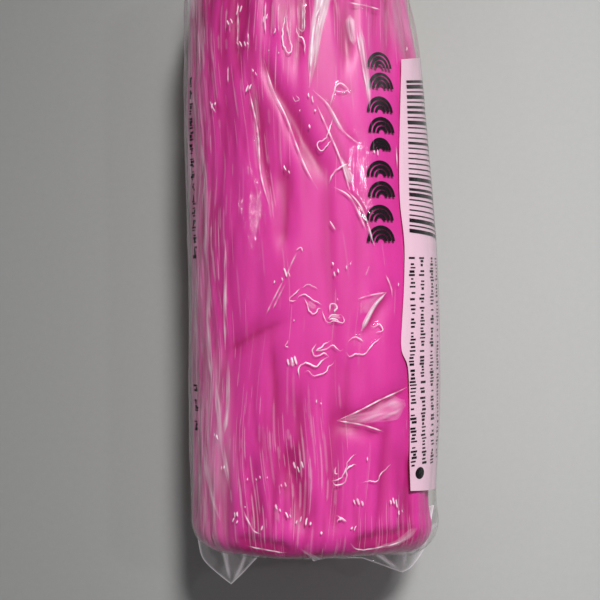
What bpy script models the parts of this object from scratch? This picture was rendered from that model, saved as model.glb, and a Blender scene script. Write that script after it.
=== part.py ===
"""Kamaboko: a steamed fish cake on its wooden board, wrapped in clear film.

Metres, +Z up. The cake's length runs along Y with its front end at -Y, and the
origin is the middle of the board's underside.
"""

import math
from collections import namedtuple

import bmesh
import bpy
import numpy as np
from mathutils import Matrix, Vector

MM = 0.001

# The board that the cake is steamed on
BOARD_LENGTH = 116 * MM
BOARD_WIDTH = 46 * MM
BOARD_THICKNESS = 9 * MM
BOARD_EDGE = 0.5 * MM
GAP = 0.3 * MM  # between pieces that lie on each other

# The cake: a dome above its widest level and a squarish foot below it
CAKE_LENGTH = 122 * MM
CAKE_WIDTH = 53 * MM
CAKE_HEIGHT = 34 * MM
FOOT_DEPTH = 9 * MM
DOME_POWER = 2.35
FOOT_POWER = 8.0
END_ROUND = 5 * MM
END_BULGE = 0.8 * MM
HALF_LENGTH = CAKE_LENGTH / 2
HALF_WIDTH = CAKE_WIDTH / 2
DOME_RISE = CAKE_HEIGHT - FOOT_DEPTH
WIDEST_LEVEL = BOARD_THICKNESS + GAP + FOOT_DEPTH

# The cake isn't quite straight: its film draws it in towards both ends
BELLY_Y = -28 * MM  # where it is widest
BELLY_WIDTH = 1.2 * MM
BELLY_HEIGHT = 0.8 * MM
SWAY_Y = -10 * MM
SWAY = 0.6 * MM
SWAY_LENGTH = 110 * MM

# How finely the cake and the film are divided
CAKE_SIDES = 84
CAKE_RINGS = 26
FILM_SIDES = 52
FILM_RINGS = 2
FOOT_SHARE = 0.22  # the share of the sides that the foot takes
END_FACE_RINGS = 4
END_ROUND_RINGS = 4
CREST_SHARE = (1 / END_FACE_RINGS) ** 2  # the innermost ring's size as a share of the whole

# Creases that the film presses into the cake
CREASE_SEED = 11
CREASE_COUNT = 20
GATHER_COUNT = 30
GATHER_LENGTH = 32 * MM
CREASE_REACH = 44 * MM  # how far they go round the section, each way from the crest
SWELL_DEPTH = 0.5 * MM
SWELL_LENGTH = 46 * MM

# The film's loose ends
FILM_GAP = 0.4 * MM
FILM_THICKNESS = 0.4 * MM
FILM_HEM = 0.6 * MM  # clear of what the board stands on
FILM_FOOT = 5 * MM  # how far its form is drawn on below the board, where the trim cuts it
FILM_ROOT = 8.5 * MM  # how far it reaches over the cake from each end
FILM_CREST = 3 * MM  # how far the seam across each end stands out
FILM_CREST_WIDTH = 0.86  # the seam's length as a share of the width
FILM_PLEATS = 9
FILM_PLEAT_DEPTH = 0.5 * MM
EAR_THICKNESS = 0.8 * MM

PINK = (0.63, 0.055, 0.29, 1)
PINE = (0.78, 0.62, 0.42, 1)
CLEAR = (0.82, 0.84, 0.83, 1)

# Creases that stand out: depth, width, and points (x, y) as seen from above, in millimetres
NAMED_CREASES = (
    (0.85, 1.8, ((-9.5, 42.5), (-8.3, 37.2), (-4.0, 28.1), (0.3, 19.9), (4.1, 11.9))),
    (0.60, 1.7, ((-10.5, 33.6), (-9.9, 26.2), (-9.0, 17.6), (-7.9, 9.1))),
    (0.75, 1.9, ((-4.6, 18.6), (-4.8, 16.1), (-5.5, 4.1), (-6.5, -1.4))),
    (0.65, 1.8, ((-9.0, -12.4), (-8.6, -19.8), (-7.6, -34.4), (-7.8, -49.9), (-9.5, -58.0))),
    (0.50, 2.0, ((-3.0, -24.4), (-3.4, -39.4), (-1.5, -56.4))),
    (0.45, 2.2, ((6.4, -20.2), (6.2, -28.4), (6.0, -36.2))),
    (0.50, 1.8, ((4.4, -34.4), (11.0, -31.9), (18.5, -28.1))),
    (0.45, 1.8, ((4.4, -34.4), (9.0, -36.0), (13.6, -36.8))),
    (0.45, 2.0, ((8.0, -18.4), (10.5, -15.3), (15.2, -8.8))),
    (0.45, 2.4, ((-19.0, -20.4), (-11.0, -15.9), (-4.5, -13.4))),
    (0.60, 1.8, ((-15.0, 57.0), (-14.5, 45.6), (-13.0, 31.6))),
    (0.55, 1.8, ((2.0, 57.6), (0.0, 44.6), (-1.5, 33.6))),
    (0.80, 1.6, ((-17.0, -57.0), (-10.0, -58.2), (-3.8, -59.1))),
    (0.90, 1.6, ((7.0, -58.0), (14.0, -57.6), (21.5, -57.0))),
)

# The ears where the film's corners stick out: level, droop in degrees, and the outline
# seen from above in millimetres, each point with whether the outline turns sharply there
EARS = {
    "film_front": (
        (
            17.5,
            9,
            (
                (-21.0, -53.0, True),
                (-26.3, -53.0, True),
                (-25.6, -62.0, False),
                (-24.2, -66.5, False),
                (-18.8, -71.6, True),
                (-15.4, -68.3, False),
                (-10.0, -62.5, True),
            ),
        ),
        (
            16.5,
            4,
            (
                (20.0, -53.0, True),
                (1.5, -61.0, True),
                (4.5, -65.6, True),
                (18.8, -69.8, False),
                (22.4, -67.2, False),
                (24.2, -63.0, False),
                (26.0, -53.0, True),
            ),
        ),
    ),
    "film_back": (
        (
            17.5,
            7,
            (
                (-21.0, 53.0, True),
                (-24.9, 53.0, True),
                (-24.6, 62.0, False),
                (-20.5, 69.2, True),
                (-13.0, 66.5, False),
                (-6.0, 61.5, True),
            ),
        ),
        (
            17.0,
            11,
            (
                (19.0, 53.0, True),
                (9.0, 62.0, True),
                (14.2, 68.0, False),
                (17.6, 71.0, True),
                (22.0, 66.0, False),
                (24.0, 61.0, False),
                (24.9, 53.0, True),
            ),
        ),
    ),
}

# A loaf's form: how finely it is divided, how its surface departs from the plain form, how
# deep its foot is, and how far and how widely a crest stands out across its ends
Form = namedtuple("Form", "sides rings relief lift foot_depth crest crest_width")


def smooth_step(value):
    value = np.clip(value, 0, 1)
    return value * value * (3 - 2 * value)


def section_at(turn):
    """The dome's section at an angle from +X: x and z from the middle of its widest level."""
    cos, sin = np.cos(turn), np.sin(turn)
    power = np.where(sin >= 0, DOME_POWER, FOOT_POWER)
    reach = np.where(sin >= 0, DOME_RISE, FOOT_DEPTH)
    x = HALF_WIDTH * np.sign(cos) * np.abs(cos) ** (2 / power)
    z = reach * np.sign(sin) * np.abs(sin) ** (2 / power)
    return x, z


def walk_table(steps=2000):
    """The distance round the section from its crest, and x, down to the middle of the base."""
    x, z = section_at(math.pi / 2 - np.linspace(0, math.pi, steps + 1))
    walked = np.concatenate([[0], np.cumsum(np.hypot(np.diff(x), np.diff(z)))])
    return walked, x


WALKED, WALKED_X = walk_table()


def walk_of_turn(turn):
    """Distance round the section from the crest, positive on the right."""
    from_crest = (math.pi / 2 - turn + math.pi) % (2 * math.pi) - math.pi
    share = np.abs(from_crest) / math.pi
    return np.sign(from_crest) * np.interp(share, np.linspace(0, 1, len(WALKED)), WALKED)


def walk_of_x(x):
    """Distance round the section of a point on the dome, from its x."""
    dome = slice(0, len(WALKED) // 2 + 1)
    return np.sign(x) * np.interp(np.abs(x), WALKED_X[dome], WALKED[dome])


def smooth_line(points, steps=12):
    """A Catmull-Rom curve through a few points."""
    points = np.array(points, float)
    before_first, after_last = 2 * points[0] - points[1], 2 * points[-1] - points[-2]
    padded = np.vstack([before_first, points, after_last])
    line = []
    for a, b, c, d in zip(padded, padded[1:], padded[2:], padded[3:]):
        for t in np.linspace(0, 1, steps, endpoint=False):
            cubic = (3 * b - a - 3 * c + d) * t**3
            square = (2 * a - 5 * b + 4 * c - d) * t**2
            line.append(b + 0.5 * ((c - a) * t + square + cubic))
    return np.array(line + [points[-1]])


def named_creases():
    """The creases that stand out, each as its depth, width, and its walk and y along its length."""
    made = []
    for depth, width, points in NAMED_CREASES:
        line = smooth_line(points) * MM
        made.append((depth * MM, width * MM, walk_of_x(line[:, 0]), line[:, 1]))
    return made


def random_creases():
    """Long creases all over, and short ones gathered at the two ends."""
    draw = np.random.default_rng(CREASE_SEED)
    share = np.linspace(0, 1, 30)
    made = []
    for index in range(CREASE_COUNT + GATHER_COUNT):
        gathered = index >= CREASE_COUNT
        if gathered:
            place = (index - CREASE_COUNT) // 2 / (GATHER_COUNT / 2)
            end = HALF_LENGTH * (1 if index % 2 else -1)
            start = end * draw.uniform(0.93, 1.0)
            stop = end - math.copysign(GATHER_LENGTH * draw.uniform(0.5, 1.1), end)
            depth = draw.uniform(0.35, 0.8) * MM
        else:
            place = index / CREASE_COUNT
            start = draw.uniform(-1, 0.2) * HALF_LENGTH
            stop = start + draw.uniform(30, 70) * MM
            depth = draw.uniform(0.2, 0.5) * MM
        walk = CREASE_REACH * (2 * (place + draw.uniform(0, 0.06)) - 1)
        drift = draw.uniform(-3, 3) * MM * share
        wave = draw.uniform(0.2, 0.7) * MM * np.sin(share * draw.uniform(4, 9) + draw.uniform(0, 6))
        width = draw.uniform(1.3, 1.9) * MM
        made.append((depth, width, walk + drift + wave, start + (stop - start) * share))
    return made


def crease_depth(crease, walk, y):
    """How deep one crease is at each point: rounded across, and fading out at its two ends."""
    depth, width, line_walk, line_y = crease
    steps = np.hypot(np.diff(line_walk), np.diff(line_y))
    started = np.concatenate([[0], np.cumsum(steps)])
    deepest = np.zeros_like(walk)
    for index, step in enumerate(steps):
        along_walk = (line_walk[index + 1] - line_walk[index]) / step
        along_y = (line_y[index + 1] - line_y[index]) / step
        from_walk, from_y = walk - line_walk[index], y - line_y[index]
        gone = np.clip(from_walk * along_walk + from_y * along_y, 0, step)
        off = np.hypot(from_walk - gone * along_walk, from_y - gone * along_y)
        share = (started[index] + gone) / started[-1]
        fade = smooth_step(share * 4) * smooth_step((1 - share) * 4)
        deepest = np.maximum(deepest, depth * fade * np.exp(-((off / width) ** 2)))
    return deepest


CREASES = named_creases() + random_creases()


def cake_relief(walk, y):
    """How far the cake's surface lies under its plain form: slow swells and the creases."""
    swell_y = 2 * math.pi * y / SWELL_LENGTH
    swell_walk = 2 * math.pi * walk / SWELL_LENGTH
    swell = 2 + np.sin(swell_y + 1.7 * np.sin(swell_walk)) + np.sin(2.3 * swell_walk + 0.6)
    creased = sum(crease_depth(crease, walk, y) for crease in CREASES)
    above_foot = smooth_step((CREASE_REACH + 6 * MM - np.abs(walk)) / (8 * MM))
    return -(SWELL_DEPTH * swell / 4 + creased) * above_foot


def film_relief(walk, y):
    """The film's pleats stand out from its plain form, most of all at the very ends."""
    ripple = 0.5 + 0.5 * np.sin(2 * math.pi * FILM_PLEATS * walk / WALKED[-1] + y / (4 * MM))
    return FILM_PLEAT_DEPTH * ripple * smooth_step((np.abs(y) - HALF_LENGTH + END_ROUND) / END_ROUND)


def no_relief(walk, _y):
    return np.zeros_like(walk)


CAKE_FORM = Form(CAKE_SIDES, CAKE_RINGS, cake_relief, 0, FOOT_DEPTH, END_BULGE, 0)
FILM_FORM = Form(
    FILM_SIDES,
    FILM_RINGS,
    film_relief,
    FILM_GAP + FILM_THICKNESS,
    WIDEST_LEVEL + FILM_FOOT,
    FILM_CREST,
    FILM_CREST_WIDTH,
)
FILM_ROOM = FILM_FORM._replace(relief=no_relief, lift=FILM_GAP)


def ring_place(ring, form):
    """A ring's y, how far its section is drawn in, and its size as a share of the whole."""
    end_rings = END_FACE_RINGS + END_ROUND_RINGS
    last_ring = 2 * end_rings + form.rings
    step = min(ring, last_ring - ring)
    if step <= END_FACE_RINGS:
        share = (step / END_FACE_RINGS) ** 2
        from_end, inset = -form.crest * (1 - share), END_ROUND
    elif step <= end_rings:
        turn = (step - END_FACE_RINGS) / END_ROUND_RINGS * math.pi / 2
        share = 1
        from_end, inset = END_ROUND * (1 - math.cos(turn)), END_ROUND * (1 - math.sin(turn))
    else:
        straight = CAKE_LENGTH - 2 * END_ROUND
        share = 1
        from_end, inset = END_ROUND + straight * (step - end_rings) / form.rings, 0
    y = HALF_LENGTH - from_end
    return (-y if 2 * ring <= last_ring else y), inset, share


def side_turn(side, sides):
    """The angle of a side of the section, few of them on the flat foot and most on the dome."""
    foot_sides = round(sides * FOOT_SHARE / 2) * 2
    dome_sides = sides - foot_sides
    if side <= dome_sides:
        return math.pi * side / dome_sides
    return math.pi * (1 + (side - dome_sides) / foot_sides)


def loaf_mesh(form):
    """A closed loaf: a ball with its poles at the two ends, reshaped ring by ring.

    A foot deeper than the cake's own takes in the board, whose corners it squares up to.
    """
    last_ring = 2 * (END_FACE_RINGS + END_ROUND_RINGS) + form.rings
    bm = bmesh.new()
    bmesh.ops.create_uvsphere(bm, u_segments=form.sides, v_segments=last_ring, radius=1)
    places = []
    for vert in bm.verts:
        ring = round(math.acos(max(-1, min(1, vert.co.z))) / math.pi * last_ring)
        side = round(math.atan2(vert.co.y, vert.co.x) / (2 * math.pi) * form.sides) % form.sides
        y, inset, share = ring_place(ring, form)
        turn = side_turn(side, form.sides)
        x, z = section_at(turn)
        belly = ((y - BELLY_Y) / HALF_LENGTH) ** 2
        if z > 0:
            z *= 1 - (inset + BELLY_HEIGHT * belly) / DOME_RISE
        else:
            z *= form.foot_depth / FOOT_DEPTH
            if form.foot_depth > FOOT_DEPTH:
                inset *= 1 - 0.8 * smooth_step((-z - FOOT_DEPTH / 4) / FOOT_DEPTH)
        x *= 1 - (inset + BELLY_WIDTH * belly) / HALF_WIDTH
        x *= share + (1 - share) * form.crest_width * min(1, share / CREST_SHARE)
        sway = SWAY * math.cos(2 * math.pi * (y - SWAY_Y) / SWAY_LENGTH)
        vert.co = (x + sway, y, WIDEST_LEVEL + z * share)
        places.append((float(walk_of_turn(turn)), y, share))
    bmesh.ops.recalc_face_normals(bm, faces=bm.faces)
    bm.normal_update()
    walks, ys, shares = np.array(places).T
    rises = form.relief(walks, ys) * shares + form.lift
    normals = [vert.normal.copy() for vert in bm.verts]
    for vert, normal, rise, share in zip(bm.verts, normals, rises, shares):
        if share <= CREST_SHARE:
            normal = Vector((0, math.copysign(1, vert.co.y), 0))
        vert.co += normal * float(rise)
    return bm


def box_mesh(low, high):
    bm = bmesh.new()
    bmesh.ops.create_cube(bm, size=1)
    bmesh.ops.scale(bm, vec=[top - bottom for bottom, top in zip(low, high)], verts=bm.verts)
    bmesh.ops.translate(bm, vec=[(top + bottom) / 2 for bottom, top in zip(low, high)], verts=bm.verts)
    return bm


def make_material(name, colour, roughness):
    material = bpy.data.materials.new(name)
    material.use_nodes = True
    shader = material.node_tree.nodes["Principled BSDF"]
    shader.inputs["Base Color"].default_value = colour
    shader.inputs["Roughness"].default_value = roughness
    shader.inputs["Metallic"].default_value = 0
    return material


def make_object(bm, name, collection):
    """Gives a bmesh its object, shaded smooth but for its hard edges."""
    mesh = bpy.data.meshes.new(name)
    bm.to_mesh(mesh)
    bm.free()
    mesh.shade_smooth()
    mesh.set_sharp_from_angle(angle=math.radians(40))
    obj = bpy.data.objects.new(name, mesh)
    collection.objects.link(obj)
    return obj


def make_cutter(bm, name, cutters):
    cutter = make_object(bm, name, cutters)
    cutter.hide_render = True
    cutter.display_type = "WIRE"
    return cutter


def make_collection(name):
    collection = bpy.data.collections.new(name)
    bpy.context.scene.collection.children.link(collection)
    return collection


def add_boolean(obj, operation, other):
    modifier = obj.modifiers.new(f"{operation.lower()} {other.name}", "BOOLEAN")
    modifier.operation = operation
    modifier.object = other


def make_cake(parts):
    cake = make_object(loaf_mesh(CAKE_FORM), "fish_cake", parts)
    cake.data.materials.append(make_material("pink fish cake", PINK, 0.35))


def make_board(parts):
    low = (-BOARD_WIDTH / 2, -BOARD_LENGTH / 2, 0)
    high = (BOARD_WIDTH / 2, BOARD_LENGTH / 2, BOARD_THICKNESS)
    board = make_object(box_mesh(low, high), "board", parts)
    board.data.materials.append(make_material("pine", PINE, 0.6))
    edge = board.modifiers.new("worn edges", "BEVEL")
    edge.width = BOARD_EDGE
    edge.segments = 2


def make_ear(name, ear, cutters):
    """One ear of the film as a flat plate that hangs down from where it leaves the pack."""
    level, droop, outline = ear
    curve = bpy.data.curves.new(name, "CURVE")
    curve.dimensions = "2D"
    curve.fill_mode = "BOTH"
    curve.extrude = EAR_THICKNESS / 2
    curve.resolution_u = 4
    spline = curve.splines.new("BEZIER")
    spline.bezier_points.add(len(outline) - 1)
    spline.use_cyclic_u = True
    for point, (x, y, sharp) in zip(spline.bezier_points, outline):
        point.co = (x * MM, y * MM, 0)
        point.handle_left_type = point.handle_right_type = "VECTOR" if sharp else "AUTO"
    guide = bpy.data.objects.new(f"{name} outline", curve)
    cutters.objects.link(guide)
    bpy.context.view_layer.update()
    mesh = bpy.data.meshes.new_from_object(guide.evaluated_get(bpy.context.evaluated_depsgraph_get()))
    bpy.data.objects.remove(guide)
    bm = bmesh.new()
    bm.from_mesh(mesh)
    bpy.data.meshes.remove(mesh)
    bmesh.ops.remove_doubles(bm, verts=bm.verts, dist=0.01 * MM)
    end = math.copysign(1, outline[0][1])
    root = Matrix.Translation((0, -end * (HALF_LENGTH - END_ROUND), 0))
    tilt = Matrix.Rotation(math.radians(-droop * end), 4, "X")
    raised = Matrix.Translation((0, end * (HALF_LENGTH - END_ROUND), level * MM))
    bmesh.ops.transform(bm, matrix=raised @ tilt @ root, verts=bm.verts)
    bmesh.ops.recalc_face_normals(bm, faces=bm.faces)
    return make_cutter(bm, name, cutters)


def make_film_end(name, end, clear, parts, cutters):
    """The film over one end: its outer form with its ears, hollowed for the cake and the board."""
    film = make_object(loaf_mesh(FILM_FORM), name, parts)
    film.data.materials.append(clear)
    for index, ear in enumerate(EARS[name]):
        add_boolean(film, "UNION", make_ear(f"{name} ear {index + 1}", ear, cutters))
    room = make_cutter(loaf_mesh(FILM_ROOM), f"{name} room", cutters)
    add_boolean(film, "DIFFERENCE", room)
    root, beyond = HALF_LENGTH - FILM_ROOT, HALF_LENGTH * 2
    near, far = sorted((end * root, end * beyond))
    kept = box_mesh((-HALF_WIDTH * 2, near, FILM_HEM), (HALF_WIDTH * 2, far, 2 * CAKE_HEIGHT))
    add_boolean(film, "INTERSECT", make_cutter(kept, f"{name} trim", cutters))


def main():
    for obj in list(bpy.data.objects):
        bpy.data.objects.remove(obj)
    parts, cutters = make_collection("kamaboko"), make_collection("cutters")
    make_cake(parts)
    make_board(parts)
    clear = make_material("clear film", CLEAR, 0.15)
    make_film_end("film_front", -1, clear, parts, cutters)
    make_film_end("film_back", 1, clear, parts, cutters)


main()
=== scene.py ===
"""The look of the kamaboko: a dyed fish cake on its pine board, in clear creased film with its print.

The tables are in millimetres. A place on a wrapped form is (walk, lane): the distance round its
section from the crest, positive to +X, and the distance along it from the middle of its length.
"""

import math
from collections import namedtuple

import bpy
import numpy as np
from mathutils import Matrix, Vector


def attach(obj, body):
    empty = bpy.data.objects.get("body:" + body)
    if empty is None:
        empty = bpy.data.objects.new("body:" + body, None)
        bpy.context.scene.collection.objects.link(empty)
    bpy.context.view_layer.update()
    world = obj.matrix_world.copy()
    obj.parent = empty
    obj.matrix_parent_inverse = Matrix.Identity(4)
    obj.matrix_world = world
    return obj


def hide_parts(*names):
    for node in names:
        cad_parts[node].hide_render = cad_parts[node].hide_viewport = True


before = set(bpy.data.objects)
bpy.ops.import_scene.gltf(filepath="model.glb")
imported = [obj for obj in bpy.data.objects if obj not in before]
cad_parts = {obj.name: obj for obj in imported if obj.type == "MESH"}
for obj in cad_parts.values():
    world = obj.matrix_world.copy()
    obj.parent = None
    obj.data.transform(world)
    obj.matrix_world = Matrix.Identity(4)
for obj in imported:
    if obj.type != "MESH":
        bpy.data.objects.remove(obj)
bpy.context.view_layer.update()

MM = 0.001

# The plain form of the cake, as the solid has it
HALF_LENGTH = 61.0
HALF_WIDTH = 26.5
DOME_RISE = 25.0
FOOT_DEPTH = 9.0
WIDEST_LEVEL = 18.3
DOME_POWER = 2.35
FOOT_POWER = 8.0
END_ROUND = 5.0
END_BULGE = 0.8
BELLY_Y = -28.0
BELLY_WIDTH = 1.2
BELLY_HEIGHT = 0.8
SWAY_Y = -10.0
SWAY = 0.6
SWAY_LENGTH = 110.0

# Distances along the form: over an end's face, round its rim, and in all
FACE_RUN = DOME_RISE - END_ROUND
RIM_RUN = END_ROUND * math.pi / 2
TOTAL_RUN = 2 * (HALF_LENGTH - END_ROUND + RIM_RUN + FACE_RUN)

# The cake's own relief, as the solid has it
CREASE_SEED = 11
CREASE_COUNT = 20
GATHER_COUNT = 30
GATHER_LENGTH = 32.0
CREASE_REACH = 44.0
CREASE_LENGTHS = (30, 70)
CREASE_DEPTHS = (0.2, 0.5)
CREASE_WIDTHS = (1.3, 1.9)
GATHER_DEPTHS = (0.35, 0.8)
SWELL_DEPTH = 0.5
SWELL_LENGTH = 46.0
NAMED_CREASES = (
    (0.85, 1.8, ((-9.5, 42.5), (-8.3, 37.2), (-4, 28.1), (0.3, 19.9), (4.1, 11.9))),
    (0.6, 1.7, ((-10.5, 33.6), (-9.9, 26.2), (-9, 17.6), (-7.9, 9.1))),
    (0.75, 1.9, ((-4.6, 18.6), (-4.8, 16.1), (-5.5, 4.1), (-6.5, -1.4))),
    (0.65, 1.8, ((-9, -12.4), (-8.6, -19.8), (-7.6, -34.4), (-7.8, -49.9), (-9.5, -58))),
    (0.5, 2, ((-3, -24.4), (-3.4, -39.4), (-1.5, -56.4))),
    (0.45, 2.2, ((6.4, -20.2), (6.2, -28.4), (6, -36.2))),
    (0.5, 1.8, ((4.4, -34.4), (11, -31.9), (18.5, -28.1))),
    (0.45, 1.8, ((4.4, -34.4), (9, -36), (13.6, -36.8))),
    (0.45, 2, ((8, -18.4), (10.5, -15.3), (15.2, -8.8))),
    (0.45, 2.4, ((-19, -20.4), (-11, -15.9), (-4.5, -13.4))),
    (0.6, 1.8, ((-15, 57), (-14.5, 45.6), (-13, 31.6))),
    (0.55, 1.8, ((2, 57.6), (0, 44.6), (-1.5, 33.6))),
    (0.8, 1.6, ((-17, -57), (-10, -58.2), (-3.8, -59.1))),
    (0.9, 1.6, ((7, -58), (14, -57.6), (21.5, -57))),
)

# The film: how far it stands off the cake, and how its ends close
FILM_GAP = 0.35
FILM_CREST = 3.0
FILM_CREST_WIDTH = 0.86
FILM_SKIRT = (
    (26.85, 0), (26.75, -4), (26.4, -8), (25.4, -10.5), (24.3, -14.5), (23.6, -17.6),
    (22.8, -18.35), (0, -18.35),
)
BOARD_GRIP = (9.0, 6.0)  # the depth below which the board holds the film straight, and over what
UNDERSIDE = -0.05  # the lowest that the film's folds reach

# How finely the forms are made: up to which walk, the steps there and beyond it, and the lanes
CAKE_STEPS = (48.0, 0.6, 1.8)
CAKE_LANES = 221
FILM_STEPS = (45.0, 0.36, 1.2)
FILM_LANES = 310

# How far the film follows the cake's relief, and how far its ridges stand up for their height
FILM_FOLLOWS = 0.18
RIDGE_STANDS = 0.6

# The smallest wrinkles: seed, how far apart and how long they are, and how sharp
CAKE_WRINKLES = (31, 2.4, 26, 0.2)
CAKE_WRINKLE_DEPTH = 0.3
CAKE_WRINKLE_SHIFT = 0.7
FILM_WRINKLES = ((0.15, (31, 3.4, 24, 0.14)), (0.08, (47, 1.9, 11, 0.22)))  # each with its height
HAZE_WRINKLES = (67, 2.2, 15, 0.3)
FILM_RIPPLE = (0.05, 53, 2.4, 7)  # height, seed, and how long the ripples are both ways
WRINKLE_REACH = (60, 8)  # the walk where the film's wrinkles end, and over what
WANDER = (2.6, 17, 30)  # how far the wrinkles wander sideways, and over what both ways

# Fine ridges of the film: height, half width, and the points of each; each also gets a painted
# highlight line along it and a painted shade line on the cake beside it
FILM_RIDGES = (
    (0.22, 0.5, ((-13.9, 49.7), (-13.9, 45), (-14.1, 40.2))),
    (0.18, 0.4, ((-15.8, 45.6), (-15.8, 43.4))),
    (0.2, 0.45, ((-16.3, 36.8), (-16.4, 33.5))),
    (0.2, 0.45, ((-11.6, 43.2), (-11.4, 41.2), (-11.6, 39.4))),
    (0.24, 0.45, ((-7.6, 49.2), (-7.8, 45.7), (-7.7, 42.3))),
    (0.24, 0.45, ((-4.8, 48.5), (-5, 45.5), (-4.9, 42.6))),
    (0.24, 0.5, ((0.3, 48.9), (0.2, 45.8), (0.1, 42.8))),
    (0.55, 1.1, ((4.6, 56), (4.3, 48.9), (3, 45.7), (2.2, 42.4), (1.6, 37), (0.9, 31.5))),
    (0.22, 0.6, ((11.5, 44), (12.2, 37.5), (13.1, 31))),
    (0.2, 0.5, ((9.5, 48.5), (18, 47.5))),
    (0.28, 0.5, ((-8.2, 37.4), (-6.5, 31.4), (-4.1, 26.1), (-2.3, 20.6), (-0.6, 15.8), (1.5, 11.6))),
    (0.26, 0.45, ((-12, 33.5), (-11.2, 29.7), (-10, 23.1), (-9.8, 15), (-8.1, 7.6))),
    (0.26, 0.5, ((1.7, 31.1), (4.8, 27.9), (7.4, 23), (11.1, 20))),
    (0.28, 0.5, ((2.2, 28.5), (4.3, 23.2), (6.2, 18.1), (7.8, 11.9))),
    (0.24, 0.4, ((6.6, 17.7), (7.8, 11.5))),
    (0.3, 0.5, ((4.8, 12), (8.1, 9.6), (11, 3))),
    (0.24, 0.45, ((7.2, 11.5), (10.2, 7.6), (12.3, 0.5))),
    (0.2, 0.45, ((19.2, 20.3), (19, 15.6))),
    (0.24, 0.4, ((5.8, 31.1), (7.4, 32.4), (9, 31.1), (7.3, 30.7), (5.8, 31.1))),
    (0.04, 0.45, ((-3.2, -0.6), (-4.4, -2.8), (-5.5, -5.3))),
    (0.06, 0.45, ((-6.1, -6), (-7.5, -8.5), (-9, -11.2), (-9.8, -12.8))),
    (0.03, 0.4, ((-5.6, -6.5), (-7, -9), (-8.4, -11.7))),
    (0.2, 0.4, ((3.5, 5.4), (4.6, 3.5))),
    (0.1, 0.4, ((11, 3.9), (12.5, 0.2))),
    (0.06, 0.4, ((11.1, -3.6), (10.2, -5.6))),
    (0.1, 0.4, ((14.6, -5.4), (15.7, -8), (15.9, -10.1))),
    (0.24, 0.5, ((-21.4, 30.6), (-19.7, 27.8))),
    (0.26, 0.5, ((-14.6, -51), (-12.5, -54.9), (-10.8, -55.8))),
    (0.34, 0.6, ((-14.3, -58.3), (-10.5, -58.8), (-5.8, -59.7))),
    (0.34, 0.6, ((7.1, -57.9), (8.8, -59.3), (13, -59.3), (20.3, -58.1))),
    (0.24, 0.8, ((14.6, -8.9), (12.4, -10.9), (10.7, -13.3), (9.1, -16.4))),
    (0.1, 0.6, ((8.5, -10.1), (11.1, -9.4), (14.6, -8.9))),
    (0.36, 0.7, ((4.2, -33.8), (8.6, -32), (13.3, -29.9), (19.3, -27.9))),
    (0.3, 0.6, ((4.2, -33.8), (9.2, -34.8), (13.9, -36.4))),
)

RIDGE_SHOWN = (0.17, 0.17)  # half width of the painted highlight line along a ridge
RIDGE_OPACITY = (0.35, 1.4, 0.9)  # of a flat one, what each millimetre of height adds, and the most
RIDGE_GLEAM = 0.3  # how bright it stays where it is darkest
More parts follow.
